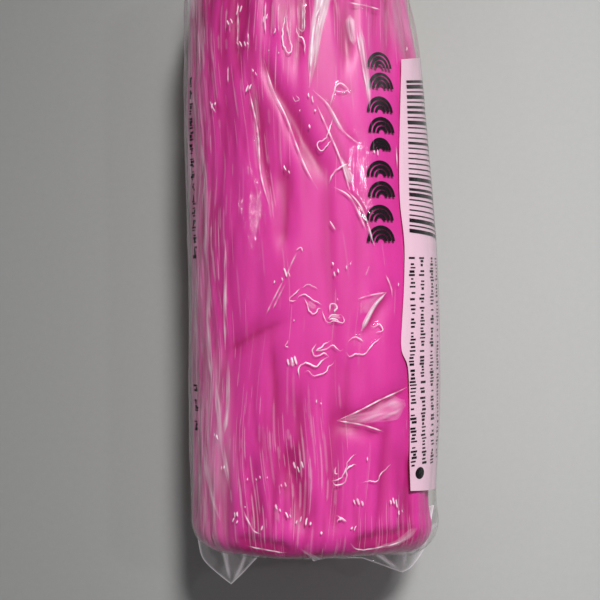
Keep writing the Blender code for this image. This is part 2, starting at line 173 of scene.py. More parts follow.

# The rims of the patches where the film clings to the wet cake, each raised a little and drawn
# with a painted highlight line
CLING_RIMS = (
    ((-2.6, -7.6), (-1.3, -7), (-0.1, -7.5), (0.6, -8)),
    ((-2.9, -7.7), (-4.1, -8.9), (-5.1, -10), (-3.6, -10.1)),
    ((-3.5, -9.8), (-2.2, -8.8), (-0.6, -9.9), (1.4, -11)),
    ((-2.1, -9.6), (-1.4, -11.4), (-1.2, -12.2), (-0.2, -12.8), (0.6, -11.8), (1.3, -11.9)),
    ((1.3, -11.9), (1.7, -13.4), (2.4, -14.6), (3.8, -14.2), (5.3, -14.6), (5.6, -13.8), (5.1, -13)),
    ((5.1, -13), (3.4, -13.1), (2.4, -13.7)),
    ((2.8, -12.5), (3.1, -11), (3.9, -10.9), (4.3, -11.7), (3.7, -12.4), (4.4, -12.2)),
    ((2.5, -13.8), (3.9, -13.9), (4.7, -14.3)),
    ((3.1, -18), (1.7, -18.8), (0.2, -20), (2, -19.7), (3.4, -19), (4.6, -20.1), (5.4, -19.9)),
    ((6.3, -18.7), (6.8, -17.9), (7.8, -17.5), (8.8, -17.9), (9.5, -18.6)),
    ((6, -20.4), (6.7, -21.3), (7.8, -20.8), (9.6, -20.9), (11.4, -19.1), (13.4, -17.5)),
    ((12.1, -16.8), (13.5, -16.3), (12.9, -15.2), (11.6, -15.6), (10.8, -15.2)),
    ((-3.2, -25.4), (-3.4, -23.5), (-2.3, -22.3), (-1.3, -22.5), (0.2, -23.1), (1.2, -22), (2.5, -21.2)),
    ((2.5, -21.2), (1.7, -20.5), (0.2, -21.1), (-0.5, -20.6), (-0.5, -19.4), (0.2, -18.6)),
    ((-2.4, -24.2), (-1.5, -23.9), (-0.5, -24.8), (0.7, -24.7), (2, -24.2), (2.5, -23.2), (4, -22)),
    ((-5.3, -17.8), (-5.9, -18.9), (-5.3, -19.1)),
    ((-3.3, -0.2), (-2.4, 0.3), (-2.2, -0.5)),
    ((3.4, -45.6), (4.1, -46.4), (5.6, -46), (6.2, -45.1), (6.2, -43.4), (7.7, -42.5), (8.2, -42.7)),
    ((8, -40.4), (6.4, -41.8), (6.2, -42.8), (5.2, -44.9), (3.1, -45.6)),
    ((4.1, -42.7), (3.9, -44), (4.6, -44.3)),
    ((9.1, -46.2), (10.8, -45.9), (12.5, -46.1), (13.2, -44.8), (15.5, -43)),
    ((4.1, -52.3), (5.8, -53.2), (6.1, -53.5), (4.8, -53), (4.5, -53.8)),
    ((-3.3, 47.1), (-4.1, 42.5), (-4, 40.2), (-3, 38.5), (-2.3, 39.8), (-2.9, 42.4), (-3.3, 47.1)),
    ((-1.3, 44), (-1, 42.1), (0.2, 41.1), (0.4, 38.1)),
    ((-1.3, 43.9), (0.3, 42.7), (0.5, 45.6), (0.8, 48.9)),
    ((-2.5, 30.2), (-2.2, 29), (-1.2, 29.3), (-1.8, 30.1)),
    ((5.6, 25.9), (3.8, 21.7), (2, 20.7), (2.6, 19.1), (4, 20.4), (4.8, 21.4), (3.8, 21.7)),
    ((3.9, 12.6), (4.5, 14.2), (6.1, 15.8), (8.2, 16.6)),
    ((6.7, 32.6), (5.9, 30.5), (5, 27.9)),
)
CLING_HEIGHT = 0.12
CLING_HALF_WIDTH = 0.42
CLING_RAGGED = 0.16
CLING_SHOWN = (0.09, 0.17)  # half width of the painted highlight line along a rim
CLING_OPACITY = 0.9
CLING_GLEAM = 0.35
RAGGED_SEEDS = (103, 105)
RAGGED_CELL = 0.7

# Small pinches of the film, each raised a little and drawn with painted highlight strokes: walk,
# lane and size
PINCHES = (
    (6.9, -3.6, 1), (3.7, -3.1, 0.8), (4.4, -4.9, 1), (-5.7, -5.3, 1.6), (-8, -6.1, 0.8),
    (-4.3, -13.7, 0.5), (17.4, -7.5, 0.8), (0.2, -30.2, 0.8), (1, -30.5, 0.6), (4.5, -9.9, 0.5),
    (-4.7, -22, 2), (-3.3, -43, 1.6), (-6.2, -45.9, 1), (10.4, -41.4, 0.9),
    (8.6, -49.6, 1.6), (5, -52.8, 0.8), (7.6, -54.7, 1.4), (16.3, -50.6, 1.6), (18, -52.5, 1.2),
    (-16.2, -51.8, 1), (-16.4, -53.8, 1.2), (-10.6, -54.4, 0.8), (-21.3, -36.8, 1.2),
    (-19.6, -43.1, 1.1), (-11.4, -45.1, 1.2), (-9.4, -45.1, 0.9), (-7.2, -50.8, 1),
    (-5.2, -52.2, 1.3), (-3.2, -52.9, 1.4), (-1.3, -53.9, 1.2), (1.2, -55.3, 0.9),
    (-13.5, -45.2, 0.9), (-14.1, -50.6, 0.6), (-1.1, 27.2, 0.8), (1.9, 27, 0.6), (0.6, 24.2, 0.9),
    (-4.4, 15.7, 1.3), (-11.6, 32.4, 1.2), (-20.2, 29.2, 1.2), (-15.9, 45.7, 1),
    (-13.6, 47.7, 1.5), (-13.7, 41.5, 1.2), (-11.9, 41.3, 1), (-10.3, 35.3, 1.1),
    (-7.7, 45.3, 1.4), (-5.8, 43.2, 0.9), (-5.1, 38.3, 0.8), (-7.1, 39.4, 0.6), (1.2, 29.6, 1.1),
    (25.4, 40.3, 0.9), (14.1, 19.1, 1),
)
PINCH_SEED = 29
PINCH_HEIGHT = 0.12
PINCH_RADIUS = 0.55
PINCH_SHOWN = (0.08, 0.24)  # half width of its painted highlight strokes
PINCH_SPACE = 0.75

# A painted highlight line: how far it lies above the film, how much higher its middle is, and its step
LINE_LIFT = 0.03
LINE_CROWN = 0.06
LINE_STEP = 0.35
LINE_TIP = 0.25  # how wide it is at its tips, as a share
LINE_TAPER = 5  # how many times a tip's length goes into the whole
LINE_FADE = 0.7  # how much less its sides show than its middle

# How a painted highlight's brightness comes and goes: seed, and how far apart its bright stretches
# are
GLEAM_SEED = 97
GLEAM_LENGTH = 1.9

# Painted sheens, pale strips for the reflection where the film is pulled into a tent or a soft
# fold: opacity, half width at its first and at its last point, and its points
SHEENS = (
    (0.85, 2.3, 0.55, ((4.9, 57), (4.4, 48.9), (3.1, 43.7), (2.1, 38.4), (1.3, 33), (0.9, 31.5))),
    (0.5, 1.1, 0.7, ((10.2, 46), (10.4, 43), (10.9, 40))),
    (0.46, 0.8, 0.6, ((12.4, 44), (12.9, 37.5), (13.5, 31), (13.4, 27.5))),
    (0.36, 0.25, 0.5, ((3.8, 29.4), (5.6, 26), (7.4, 22.6))),
    (0.6, 0.25, 1.00, ((6.2, 18.4), (7.4, 15.4), (8.6, 12.4))),
    (0.32, 0.4, 1.1, ((12.5, -59.4), (17.5, -58.6), (22.5, -56.4))),
    (0.36, 0.2, 3.1, ((4.2, -33.8), (9, -33.3), (14, -32.3), (18.9, -31))),
    (0.8, 0.3, 0.55, ((14.6, -8.9), (12.4, -10.9), (10.7, -13.3), (9.1, -16.4))),
    (0.15, 0.2, 2.00, ((14.6, -8.9), (11.5, -10.9), (9, -12.6))),
    (0.24, 0.8, 0.5, ((-1.4, -10.4), (-0.6, -11.2), (0.1, -11.7))),
    (0.34, 0.5, 0.3, ((2.9, -13.6), (3.9, -13.5), (5, -13.8))),
    (0.8, 0.3, 0.45, ((-4.9, -21.3), (-4.7, -22), (-4.5, -23))),
    (0.5, 0.3, 1.00, ((-3, -58.5), (0.5, -62), (2.5, -65))),
    (0.46, 0.35, 0.45, ((-18.4, 2.3), (-18.9, -9.6), (-19, -19.6))),
    (0.36, 0.45, 0.7, ((-18.3, -21.8), (-18.4, -30.5), (-19.4, -37))),
    (0.3, 0.6, 0.9, ((-23.4, -4), (-23.8, -16), (-22.6, -27))),
    (0.34, 0.8, 0.5, ((-21.6, -26), (-20, -37), (-17.6, -47.5))),
    (0.26, 0.5, 0.9, ((-24.6, 24), (-23.5, 10), (-24.6, -3))),
    (0.3, 0.9, 0.5, ((-25.4, -38), (-23.4, -47), (-20.2, -54))),
)
SHEEN_COLUMNS = 11
SHEEN_SEED = 101
SHEEN_STREAK = (0.45, 5.0)  # how wide and how long the streaks in a sheen are

# Fine painted highlight streaks that the film's smallest wrinkles show as
STREAK_SEED = 83
STREAK_COUNT = 1150
STREAK_PLACES = (50, 66)  # how far they reach from the middle both ways
STREAK_LENGTH = (2.0, 13.0)
STREAK_HALF_WIDTH = (0.06, 0.36)
STREAK_OPACITY = (0.05, 0.30)

# Ears where the film's corners stick out: level, droop in degrees, and the outline seen from
# above, each point with whether the outline turns sharply there
EARS = {
    "ear_front_left": (17.5, 9, (
        (-21, -57, True), (-25.9, -55, True), (-25.6, -62, False), (-24.2, -66.5, False),
        (-18.8, -71.6, True), (-15.4, -68.3, False), (-10, -62.5, True),
    )),
    "ear_front_right": (16.5, 4, (
        (18, -57, True), (-3, -61.5, True), (-0.9, -66.8, True), (1.7, -66.2, False),
        (9.9, -66.3, True), (18.5, -69.7, True), (20.8, -68.2, False), (23.6, -63.6, False),
        (25.6, -55, True),
    )),
    "ear_back_left": (17.5, 7, (
        (-19, 57, True), (-24.6, 55, True), (-24.6, 62, False), (-20.5, 69.2, True),
        (-13, 66.5, False), (-6, 61.5, True),
    )),
    "ear_back_right": (17.0, 11, (
        (16, 57, True), (8, 62, True), (13.8, 68, False), (17, 71, True),
        (20.8, 66, False), (22.4, 61, False), (22.8, 55, True),
    )),
}
EAR_PUFF = 0.38
EAR_RINGS = np.concatenate([[1.0, 0.985], np.linspace(0.96, 0.02, 22)])

# Folds from an ear's tip to its foot: the foot's place as a share, how sharp, and how bent
EAR_FOLDS = ((0.22, 0.9, 0.03), (0.45, 0.5, -0.05), (0.68, 0.8, 0.06))
EAR_FOLD_WIDTH = 0.32
EAR_FOLD_HEIGHT = 0.5
EAR_CRUMPLE = (0.5, 61, 4.5, 6)  # height, seed, and how long it is both ways
EAR_RIM = (0.95, 0.03)  # from which share of the outline the pale rim, a painted reflection, starts, and over what
EAR_HAZE_AND_SHEEN = (0.03, 0.95, 0.7)  # milky haze of the sheet, and painted reflection on its rim and on its folds

# Clouds in the sheet, milky film and painted glints, and in the painted reflection along its rim:
# least, how much more, contrast, seed, and size both ways
EAR_CLOUDS = (0, 0.1, 1.2, 65, 2.5, 5)
EAR_RIM_CLOUDS = (0.55, 0.45, 1, 63, 3, 3)

# The print, laid out on the film: the pale band's left edge, and how far it wraps
BAND_EDGE = (
    (23.2, 38.1), (21.8, 29.7), (20.2, 19.5), (19.3, 9.5), (19.7, -0.5), (18.4, -13.7),
    (18, -20.2), (19.8, -24.3), (20.3, -33.7), (20.5, -42.3), (21, -48.8),
)
BAND_WRAP = 57.0
BAND_SLANTS = ((38.0, 0.17), (34.0, 0.14), (4.0, -0.06), (-49.0, -0.10))
BAND_LIFT = -0.14
INK_LIFT = -0.07
BAR_SEED = 5
BAR_COUNT = 30
BAR_LANES = (34.2, 2.9)
BAR_STARTS = (24.4, 21.3)
BAR_END = 44.0
BAR_HALF_WIDTHS = (0.13, 0.13, 0.26, 0.38)
DASH_SEED = 17
DASH_LANES = (-2.1, -44.0)
DASH_COLUMNS = ((21.8, 20.9, 21.8), (24.9, 24.1, 25.3), (29.7, 28.0, 29.2), (33.6, 32.4, 33.4))
DASH_HALF_WIDTH = (0.13, 0.25)
DASH_STEPS = (0.62, 0.7, 0.78, 1.25)
DOT = (23.8, -45.5, 1.45, 1.2)  # walk, lane, and half sizes both ways
TICK_WALK = -28.9
TICK_LIFT = 0.05
TICK_HALF_WIDTH = (0.12, 0.26)
TICK_STEP = (0.3, 0.6)
TICK_GROUP = (1.3, 2.3)
TICK_RUNS = ((36.0, -2.0, 0.5), (-27.0, -37.0, 1.6))  # first and last lane, and the space between
FANS = (
    (16.7, 35.2, 2.85, 2), (16.0, 26.3, 2.85, 2), (15.4, 18.7, 2.2, 1), (14.9, 13.5, 2.85, 2),
    (14.1, 4.7, 2.85, 2),
)
FAN_FEET = (0.6, -3.5)
FAN_ARCS = (1.0, 0.68, 0.36)
FAN_STROKE = 0.31

# Where the cake and its film together stand out from the plain form or fall short of it: height,
# walk, lane, and half sizes both ways
PACK_SWELLS = (
    (-2.8, 35, 61, 14, 12),
    (0.8, -4, -66, 24, 9),
    (2.7, 33, -66.5, 12, 8),
)

# Where the film alone does
FILM_BULGES = (
    (0.6, -30, 52, 10, 7),
    (-0.6, 38, -52, 9, 12),
    (-0.5, -36, -52, 9, 9),
)

# Where the cake falls short of its film
CAKE_DENTS = (
    (2.6, 40, -52, 10, 11),
    (1.5, 30, 46, 8, 8),
)

# Where shade is painted deepest into the dye, under a fold that is pressed in: share, walk, lane,
# and half sizes
PAINTED_FOLD_SHADES = (
    (1, -11, -59.6, 7.5, 1.8),
    (1, 16, -58.4, 9.5, 2.5),
    (1, 2, -63, 20, 2.6),
    (0.35, -20, 47, 9, 14),
)

# The painted shade line at the bottom of a fold: half width, how dark for its depth, and beside a
# ridge of the film, how far to its side and how dark for its height
FOLD_LINE = 0.55
FOLD_DARK = 0.9
RIDGE_SIDE = 0.9
RIDGE_DARK = 2.2

# The shade painted into the folds themselves: from which depth, over what, and how much of it there
# and in the smallest wrinkles
FOLD_START = 0.5
FOLD_OVER = 0.7
FOLD_SHARE = 0.85
WRINKLE_SHARE = 0.7

# How thickly the fine wrinkles lie: share, walk, lane, and half sizes
WRINKLED = (
    (1, -27, 0, 11, 90),
    (0.9, -8, -45, 14, 17),
    (0.9, -12, 45, 16, 14),
    (0.7, 10, -58, 30, 8),
    (0.9, 0, -74, 45, 12),
    (0.9, 0, 74, 45, 12),
    (0.6, 6, 52, 22, 10),
    (0.6, -10, 20, 9, 18),
    (0.35, 6, -48, 9, 9),
    (0.6, -47, 0, 8, 90),
    (0.4, 47, 0, 8, 90),
)
WRINKLED_ELSEWHERE = 0.10

# Where the film is clear of the cake and looks milky, partly its own milkiness and partly a painted
# reflection: share, walk, lane, and half sizes
HAZE_AND_SHEEN_PATCHES = (
    (0.11, -31, 0, 8, 90),
    (0.14, -24, -40, 7, 22),
    (0.12, 27, 47, 9, 9),
    (0.32, -28, 56, 4.5, 8),
    (0.04, 12, 40, 9, 12),
)
HAZE_STREAKS = (0.6, 0.9)  # the milky haze and painted reflection between its streaks, and what they add to it

# The light: the sky's strength, and each lamp's place, size and power, in metres and watts
SKY_COLOUR = (0.95, 0.97, 1.0, 1)
SKY_STRENGTH = 0.16
KEY_PLACE = (0.28, 0.76, 1.22)
KEY_AIM = (0.07, -0.03, 0.0)
KEY_CONE = 22  # degrees
KEY_SIZE = 0.15
KEY_POWER = 102
CEILING_AIM = (0, 0, 0.03)
CEILING_LAMPS = {
    "ceiling lamp 1": ((0.60, 0.16, 0.90), 0.04, 0.5),
    "ceiling lamp 2": ((-0.75, 0.10, 0.90), 0.04, 0.2),
}

# The floor, in metres: its half size, how far it lies below the board, its tone on the left and
# on the right of the pack, a painted fall-off of the light that is paler to the right, and where
# that changes
SQUARE = ((-1, -1), (1, -1), (1, 1), (-1, 1))
FLOOR_HALF = 3.0
FLOOR_DROP = 0.0001
FLOOR_PAINTED_LIGHT = (0.305, 0.455)
FLOOR_PAINTED_LIGHT_CHANGE = (-0.06, 0.06)

# The camera: its place, its turn in degrees, its lens, and how wide its sensor is
CAMERA_PLACE = (-2.34, -10.0, 300.0)
CAMERA_TURN = -1.4
CAMERA_LENS = 78.66
CAMERA_SENSOR = 36

# Surfaces with a grain: how fine it is along each axis, and its two tones with where each lies
DYE_GRAIN = (160, 60, 160)
DYE_TONES = ((0.25, (0.69, 0.030, 0.305)), (0.75, (0.80, 0.046, 0.385)))
DYE_DEPTH = {"Subsurface_Weight": 0.15, "Subsurface_Radius": (1, 0.25, 0.5), "Subsurface_Scale": 0.0012}
# The colour that the dye is multiplied by where shade is painted into the folds
FOLD_SHADE_COLOUR = (0.66, 0.28, 0.50, 1)
PINE_GRAIN = (70, 9, 620)
PINE_TONES = ((0.35, (0.50, 0.33, 0.17)), (0.65, (0.74, 0.56, 0.34)))
FLOOR_GRAIN = (700, 700, 700)
FLOOR_TINTS = ((0.0, (0.93, 0.935, 0.905)), (1.0, (1.0, 1.0, 0.975)))
FILM_GRAIN = (1100, 160, 1100)

# The film's colours: its pale veil, milky film with painted reflection, and its painted highlights;
# and a painted glow on both, so that their edges show in shade too
VEIL_COLOUR = (0.86, 0.80, 0.84, 1)
PAINTED_HIGHLIGHT_COLOUR = (1.0, 0.88, 0.95, 1)
PAINTED_FILM_GLOW = 0.14

# The film's gloss: how it grows towards a glancing angle, its gain, and what it is face on
GLOSS_POWER = 4.5
GLOSS_GAIN = 0.7
GLOSS_LEAST = 0.04

PRINT_PALE = (0.92, 0.61, 0.74, 1)
PRINT_BLACK = (0.006, 0.005, 0.007, 1)

Skin = namedtuple("Skin", "walks lanes points normals")


def smooth_step(value):
    value = np.clip(value, 0, 1)
    return value * value * (3 - 2 * value)


def uneven(seed, u, v):
    """Smooth noise from about -1 to 1, one cell a unit."""
    angles = np.random.default_rng(seed).uniform(0, 2 * math.pi, (256, 256))
    first_u, first_v = np.floor(u).astype(int), np.floor(v).astype(int)
    part_u, part_v = u - first_u, v - first_v
    fade_u = part_u**3 * (part_u * (part_u * 6 - 15) + 10)
    fade_v = part_v**3 * (part_v * (part_v * 6 - 15) + 10)

    def corner(step_u, step_v):
        angle = angles[(first_u + step_u) % 256, (first_v + step_v) % 256]
        return np.cos(angle) * (part_u - step_u) + np.sin(angle) * (part_v - step_v)

    low = corner(0, 0) * (1 - fade_u) + corner(1, 0) * fade_u
    high = corner(0, 1) * (1 - fade_u) + corner(1, 1) * fade_u
    return 1.5 * (low * (1 - fade_v) + high * fade_v)


def smooth_line(points, steps=12):
    """A Catmull-Rom curve through a few points."""
    points = np.array(points, float)
    before_first, after_last = 2 * points[0] - points[1], 2 * points[-1] - points[-2]
    padded = np.vstack([before_first, points, after_last])
    line = []
    for a, b, c, d in zip(padded, padded[1:], padded[2:], padded[3:]):
        for t in np.linspace(0, 1, steps, endpoint=False):
            cubic = (3 * b - a - 3 * c + d) * t**3
            square = (2 * a - 5 * b + 4 * c - d) * t**2
            line.append(b + 0.5 * ((c - a) * t + square + cubic))
    return np.array(line + [points[-1]])


def walked_along(points):
    return np.concatenate([[0], np.cumsum(np.hypot(*np.diff(points, axis=0).T))])


def points_at(distances, points, length):
    """Points at distances along a line, from its points and the length up to each."""
    return np.stack([np.interp(distances, length, values) for values in points.T], axis=1)


def quarter(width, rise, power, steps):
    """A quarter of a superellipse, from its side to its top, as x and z."""
    turn = np.linspace(0, math.pi / 2, steps)
    x = width * np.abs(np.cos(turn)) ** (2 / power)
    z = rise * np.abs(np.sin(turn)) ** (2 / power)
    return np.stack([x, z], axis=1)


def dome_half(grown=0.0):
    """The section's right half from the crest down to its widest level, as x and z from there."""
    return quarter(HALF_WIDTH + grown, DOME_RISE + grown, DOME_POWER, 800)[::-1]


def walk_of_x(x):
    """Distance round the section of a point on the dome, from its x."""
    half = dome_half()
    return np.sign(x) * np.interp(np.abs(x), half[:, 0], walked_along(half))


def dents(patches, walk, lane):
    """The sum of soft round patches, each its height, place and half sizes."""
    found = np.zeros_like(walk)
    for height, at_walk, at_lane, half_walk, half_lane in patches:
        off = ((walk - at_walk) / half_walk) ** 2 + ((lane - at_lane) / half_lane) ** 2
        found += height * np.exp(-off)
    return found


def crease_depth(crease, walk, lane):
    """How deep one crease is at each point: rounded across, and fading out at its two ends."""
    depth, width, line_walk, line_lane = crease
    deepest = np.zeros_like(walk)
    reach = 3 * width
    near = (walk > line_walk.min() - reach) & (walk < line_walk.max() + reach)
    near &= (lane > line_lane.min() - reach) & (lane < line_lane.max() + reach)
    if not near.any():
        return deepest
    walk, lane = walk[near], lane[near]
    steps = np.hypot(np.diff(line_walk), np.diff(line_lane))
    started = np.concatenate([[0], np.cumsum(steps)])
    found = np.zeros_like(walk)
    for index, step in enumerate(steps):
        along_walk = (line_walk[index + 1] - line_walk[index]) / step
        along_lane = (line_lane[index + 1] - line_lane[index]) / step
        from_walk, from_lane = walk - line_walk[index], lane - line_lane[index]
        gone = np.clip(from_walk * along_walk + from_lane * along_lane, 0, step)
        off = np.hypot(from_walk - gone * along_walk, from_lane - gone * along_lane)
        share = (started[index] + gone) / started[-1]
        fade = smooth_step(share * 4) * smooth_step((1 - share) * 4)
        found = np.maximum(found, depth * fade * np.exp(-((off / width) ** 2)))
    deepest[near] = found
    return deepest


def solid_creases():
    """The creases of the solid: those that stand out, long ones all over, and gathers at the ends."""
    made = []
    for depth, width, points in NAMED_CREASES:
        line = smooth_line(points)
        made.append((depth, width, walk_of_x(line[:, 0]), line[:, 1]))
    draw = np.random.default_rng(CREASE_SEED)
    share = np.linspace(0, 1, 30)
    for index in range(CREASE_COUNT + GATHER_COUNT):
        gathered = index >= CREASE_COUNT
        if gathered:
            place = (index - CREASE_COUNT) // 2 / (GATHER_COUNT / 2)
            end = HALF_LENGTH * (1 if index % 2 else -1)
            start = end * draw.uniform(0.93, 1.0)
            stop = end - math.copysign(GATHER_LENGTH * draw.uniform(0.5, 1.1), end)
            depth = draw.uniform(*GATHER_DEPTHS)
        else:
            place = index / CREASE_COUNT
            start = draw.uniform(-1, 0.2) * HALF_LENGTH
            stop = start + draw.uniform(*CREASE_LENGTHS)
            depth = draw.uniform(*CREASE_DEPTHS)
        walk = CREASE_REACH * (2 * (place + draw.uniform(0, 0.06)) - 1)
        drift = draw.uniform(-3, 3) * share
        wave = draw.uniform(0.2, 0.7) * np.sin(share * draw.uniform(4, 9) + draw.uniform(0, 6))
        width = draw.uniform(*CREASE_WIDTHS)
        made.append((depth, width, walk + drift + wave, start + (stop - start) * share))
    return made


SOLID_CREASES = solid_creases()


def soft_lines(lines, walk, lane, beside=0.0):
    """The sum of soft lines, each its height, half width and points, moved to one side."""
    found = np.zeros_like(walk)
    for height, width, points in lines:
        line = smooth_line(points)
        found += crease_depth((height, width, line[:, 0] + beside, line[:, 1]), walk, lane)
    return found


def cake_relief(walk, lane):
    """How far the cake's surface lies under its plain form: slow swells and the creases."""
    swell_lane = 2 * math.pi * lane / SWELL_LENGTH
    swell_walk = 2 * math.pi * walk / SWELL_LENGTH
    swell = 2 + np.sin(swell_lane + 1.7 * np.sin(swell_walk)) + np.sin(2.3 * swell_walk + 0.6)
    creased = sum(crease_depth(crease, walk, lane) for crease in SOLID_CREASES)
    above_foot = smooth_step((CREASE_REACH + 6 - np.abs(walk)) / 8)
    return -(SWELL_DEPTH * swell / 4 + creased) * above_foot


def spread(patches, elsewhere, walk, lane):
    """A share at each point: that of the patches it lies in, fading to what it is elsewhere."""
    found = np.full_like(walk, elsewhere)
    for share, at_walk, at_lane, half_walk, half_lane in patches:
        off = ((walk - at_walk) / half_walk) ** 2 + ((lane - at_lane) / half_lane) ** 2
        found = np.maximum(found, share * np.exp(-(off**2)))
    return found


def wander(seed, walk, lane):
    """How far the wrinkles drift to one side at a place."""
    reach, across, along = WANDER
    return reach * uneven(seed, walk / across, lane / along)


def wrinkle_lines(wrinkles, walk, lane):
    """Narrow lines where an uneven field that is drawn out lengthwise crosses zero."""
    seed, across, along, sharp = wrinkles
    field = uneven(seed, (walk + wander(seed + 1, walk, lane)) / across, lane / along)
    return np.exp(-((field / sharp) ** 2))


def place_of_lane(lane, crest):
    """y, how far the section is drawn in, and its size as a share of the whole."""
    from_end = TOTAL_RUN / 2 - np.abs(lane)
    share = np.clip(from_end / FACE_RUN, 0, 1)
    turn = np.clip((from_end - FACE_RUN) / END_ROUND, 0, math.pi / 2)
    back = END_ROUND * (1 - np.cos(turn)) + np.clip(from_end - FACE_RUN - RIM_RUN, 0, None)
    y = np.sign(lane) * (HALF_LENGTH - back + crest * (1 - share))
    return y, END_ROUND * (1 - np.sin(turn)), share


def grid_normals(points):
    """Outward unit normals of a grid of points whose columns close on themselves."""
    along = np.gradient(points, axis=0)
    around = np.roll(points, -1, axis=1) - np.roll(points, 1, axis=1)
    normals = np.cross(around, along)
    length = np.linalg.norm(normals, axis=2, keepdims=True)
    normals /= np.maximum(length, 1e-9)
    outward = points - np.array([0, 0, WIDEST_LEVEL])
    outward[:, :, 1] *= 0.2
    facing = np.sign((normals * outward).sum(axis=(0, 1, 2)))
    return normals * facing


def wrapped_form(half, walks, lanes, crest, crest_width, held_by_board):
    """The plain form over a half section, as a grid of lanes by walks."""
    reached = walked_along(half)
    x = np.sign(walks) * np.interp(np.abs(walks), reached, half[:, 0])
    z = np.interp(np.abs(walks), reached, half[:, 1])
    y, inset, share = (each[:, None] for each in place_of_lane(lanes, crest))
    belly = ((y - BELLY_Y) / HALF_LENGTH) ** 2
    depth = np.clip(-z, 0, None)
    free = np.ones_like(depth)
    drawn = inset * np.ones_like(depth)
    if held_by_board:
        free = 1 - smooth_step((depth - BOARD_GRIP[0]) / BOARD_GRIP[1])
        drawn = inset * (1 - 0.8 * smooth_step((depth - FOOT_DEPTH / 4) / FOOT_DEPTH))
    wide = 1 - (drawn + BELLY_WIDTH * belly * free) / HALF_WIDTH
    tall = np.where(z > 0, 1 - (inset + BELLY_HEIGHT * belly) / DOME_RISE, 1)
    sway = SWAY * np.cos(2 * math.pi * (y - SWAY_Y) / SWAY_LENGTH) * free
    points = np.empty((len(lanes), len(walks), 3))
    points[:, :, 0] = x * wide * (share + (1 - share) * crest_width) + sway
    points[:, :, 1] = y
    points[:, :, 2] = WIDEST_LEVEL + z * tall * share
    return points


def raised(points, rise):
    return points + grid_normals(points) * rise[:, :, None]


def spaced(half_total, fine_to, fine, coarse):
    """Walks from one side of the base over the crest to the other, closer together on the dome."""
    dome = np.linspace(0, fine_to, round(fine_to / fine) + 1)
    rest = np.linspace(fine_to, half_total, round((half_total - fine_to) / coarse) + 1)[1:]
    half = np.concatenate([dome, rest])
    return np.concatenate([-half[:0:-1], half[:-1]])


def grid_object(name, grids, closed, material, label=None):
    """One mesh of quads over several grids, each its points and a value for each point."""
    vertices, faces, values, count = [], [], [], 0
    for points, value in grids:
        rows, columns = points.shape[:2]
        index = count + np.arange(rows * columns).reshape(rows, columns)
        if closed:
            index = np.concatenate([index, index[:, :1]], axis=1)
        quads = np.stack([index[:-1, :-1], index[:-1, 1:], index[1:, 1:], index[1:, :-1]], axis=-1)
        vertices.append(points.reshape(-1, 3) * MM)
        faces.append(quads.reshape(-1, 4))
        values.append(np.broadcast_to(value, (rows, columns)).reshape(-1))
        count += rows * columns
    mesh = bpy.data.meshes.new(name)
    mesh.from_pydata(np.concatenate(vertices).tolist(), [], np.concatenate(faces).tolist())
    if label:
        layer = mesh.attributes.new(label, "FLOAT", "POINT")
        layer.data.foreach_set("value", np.concatenate(values).astype(np.float32))
    mesh.materials.append(material)
    mesh.shade_smooth()
    obj = bpy.data.objects.new(name, mesh)
    bpy.context.scene.collection.objects.link(obj)
    return obj


def on_skin(skin, walk, lane, lift):
    """Points at places on a skin, raised along its normals."""
    column = np.interp(walk, skin.walks, np.arange(len(skin.walks)))
    row = np.interp(lane, skin.lanes, np.arange(len(skin.lanes)))
    first_column = np.minimum(column.astype(int), len(skin.walks) - 2)
    first_row = np.minimum(row.astype(int), len(skin.lanes) - 2)
    part_column, part_row = (column - first_column)[..., None], (row - first_row)[..., None]

    def mixed(grid):
        low = grid[first_row, first_column] * (1 - part_column)
        low = low + grid[first_row, first_column + 1] * part_column
        high = grid[first_row + 1, first_column] * (1 - part_column)
        high = high + grid[first_row + 1, first_column + 1] * part_column
        return low * (1 - part_row) + high * part_row

    return mixed(skin.points) + mixed(skin.normals) * lift


def new_material(name):
    """A material, its node tree and that tree's output."""
    material = bpy.data.materials.new(name)
    material.use_nodes = True
    tree = material.node_tree
    tree.nodes.clear()
    return material, tree, tree.nodes.new("ShaderNodeOutputMaterial")


def add_node(tree, kind, **values):
    """A node with its settings and its sockets' constants, where an underscore is a space."""
    node = tree.nodes.new(kind)
    for key, value in values.items():
        if hasattr(node, key):
            setattr(node, key, value)
        else:
            node.inputs[key.replace("_", " ")].default_value = value
    return node


def join(source, output, target, socket):
    source.id_data.links.new(source.outputs[output], target.inputs[socket])


def opaque_material(name, **values):
    """A material of one shader, which is joined to its output."""
    material, tree, output = new_material(name)
    shader = add_node(tree, "ShaderNodeBsdfPrincipled", **values)
    join(shader, "BSDF", output, "Surface")
    return material, tree, shader


def add_noise(tree, grain, **values):
    """Noise over the object's own space."""
    place = add_node(tree, "ShaderNodeTexCoord")
    mapping = add_node(tree, "ShaderNodeMapping", Scale=grain)
    noise = add_node(tree, "ShaderNodeTexNoise", Scale=1.0, **values)
    join(place, "Object", mapping, "Vector")
    join(mapping, "Vector", noise, "Vector")
    return noise


def add_tones(tree, noise, tones):
    """The noise as colours between two tones."""
    ramp = add_node(tree, "ShaderNodeValToRGB")
    for element, (place, colour) in zip(ramp.color_ramp.elements, tones):
        element.position = place
        element.color = (*colour, 1)
    join(noise, "Fac", ramp, "Fac")
    return ramp


def add_veil(tree, label, colour, roughness):
    """Clear film that turns pale as far as the mesh's own values say, the pale part with a faint painted
    glow.
    """
    clear = add_node(tree, "ShaderNodeBsdfTransparent")
    # A faint painted glow, so that the pale film shows in shade
    glow = {"Emission_Color": (1, 1, 1, 1), "Emission_Strength": PAINTED_FILM_GLOW}
    pale = add_node(tree, "ShaderNodeBsdfPrincipled", Base_Color=colour, Roughness=roughness, **glow)
    share = add_node(tree, "ShaderNodeAttribute", attribute_name=label)
    veil = add_node(tree, "ShaderNodeMixShader")
    join(share, "Fac", veil, "Fac")
    join(clear, "BSDF", veil, 1)
    join(pale, "BSDF", veil, 2)
    return veil


